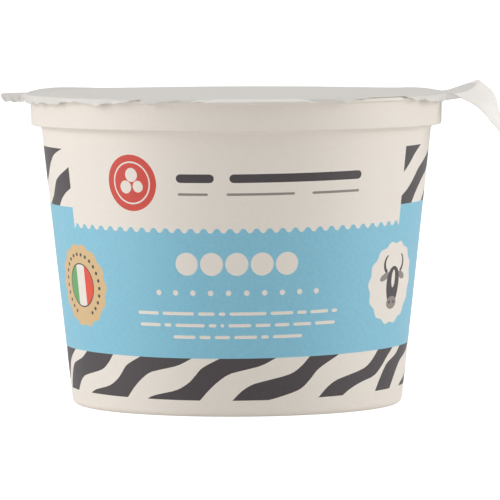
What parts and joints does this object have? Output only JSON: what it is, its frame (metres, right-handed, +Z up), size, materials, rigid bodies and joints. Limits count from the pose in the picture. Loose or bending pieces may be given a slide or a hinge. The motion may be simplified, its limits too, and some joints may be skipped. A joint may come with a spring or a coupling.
{
  "type": "sealed tub of mozzarella",
  "caption": "Round tapered plastic tub of soft cheese in brine, shut with a peel-off film that has a pull tab.",
  "frame": {"origin": "centre of the tub's base, on the tub's axis", "axes": "+Z up the tub's axis, +X towards the film's pull tab, -Y towards the printed front"},
  "size_m": [0.114, 0.097, 0.0729],
  "materials": {
    "tub_plastic": "cream polypropylene, semi-gloss, with a printed wrap",
    "lid_film": "satin silver-white peel film"
  },
  "bodies": {
    "root": {"tub": "tub_plastic", "film": "lid_film"}
  },
  "joints": []
}
